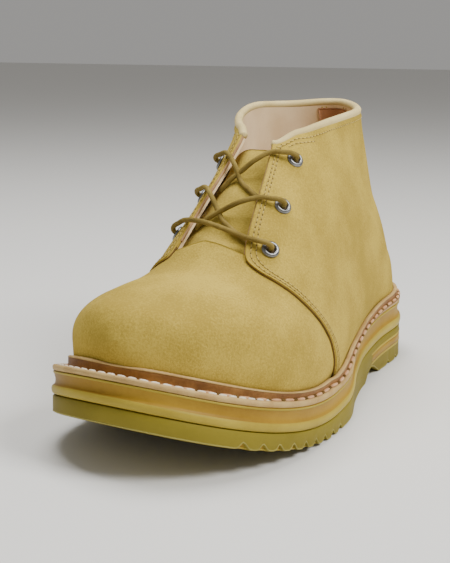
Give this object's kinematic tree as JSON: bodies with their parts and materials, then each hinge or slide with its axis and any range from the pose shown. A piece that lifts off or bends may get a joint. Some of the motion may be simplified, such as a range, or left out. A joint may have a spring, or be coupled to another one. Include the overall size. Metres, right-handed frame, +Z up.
{
  "type": "chukka boot",
  "caption": "Ankle-high suede chukka boot with a blunt plain toe, lapped quarters, cord lacing, an upright storm welt and a thick rubber sole with a heel.",
  "frame": {"origin": "on the floor, under the middle of the boot's bounding box", "axes": "+Z up, +Y from the toe towards the heel, +X towards the outer (lateral) side of this left boot"},
  "size_m": [0.1218, 0.3016, 0.1632],
  "materials": {
    "outsole_rubber": "satin olive rubber",
    "midsole_rubber": "satin honey rubber",
    "welt_leather": "waxed leather strip",
    "suede": "short-napped sand suede",
    "insole_leather": "smooth natural leather",
    "binding_leather": "smooth cream leather",
    "eyelet_metal": "dull grey metal",
    "lace_cord": "round woven cord"
  },
  "bodies": {
    "root": {"outsole": "outsole_rubber", "midsole": "midsole_rubber", "welt": "welt_leather", "upper": "suede", "tongue": "suede", "insole": "insole_leather", "collar_binding": "binding_leather", "eyelet_lateral_1": "eyelet_metal", "eyelet_lateral_2": "eyelet_metal", "eyelet_lateral_3": "eyelet_metal", "eyelet_medial_1": "eyelet_metal", "eyelet_medial_2": "eyelet_metal", "eyelet_medial_3": "eyelet_metal", "lace_bar": "lace_cord", "lace_cross_lower": "lace_cord", "lace_cross_upper": "lace_cord"}
  },
  "joints": []
}
